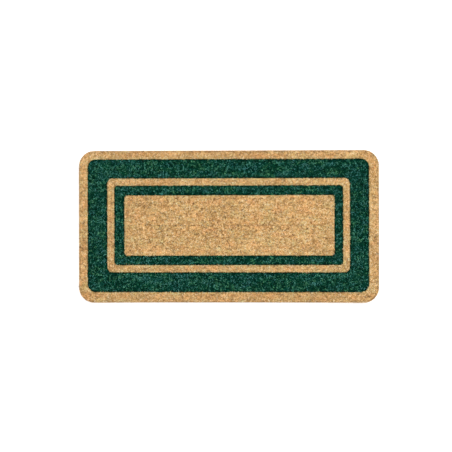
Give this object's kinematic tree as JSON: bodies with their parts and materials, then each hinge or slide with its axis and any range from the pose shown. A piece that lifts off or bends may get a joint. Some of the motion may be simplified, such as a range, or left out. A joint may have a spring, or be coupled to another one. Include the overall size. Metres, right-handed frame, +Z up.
{
  "type": "door mat",
  "caption": "Rectangular coir door mat with rounded corners, a vinyl backing and dark green dyed frames around a natural centre field.",
  "frame": {"origin": "middle of the mat's underside", "axes": "+X along the mat's length, +Y across its width, +Z up out of the floor through the pile"},
  "size_m": [0.8, 0.406, 0.017],
  "materials": {
    "backing_vinyl": "satin",
    "coir_border": "matte",
    "coir_green": "matte",
    "coir_stripe": "matte",
    "coir_centre": "matte"
  },
  "bodies": {
    "root": {"vinyl_backing": "backing_vinyl", "border_pile": "coir_border", "wide_band_pile": "coir_green", "stripe_pile": "coir_stripe", "narrow_band_pile": "coir_green", "centre_pile": "coir_centre"}
  },
  "joints": []
}
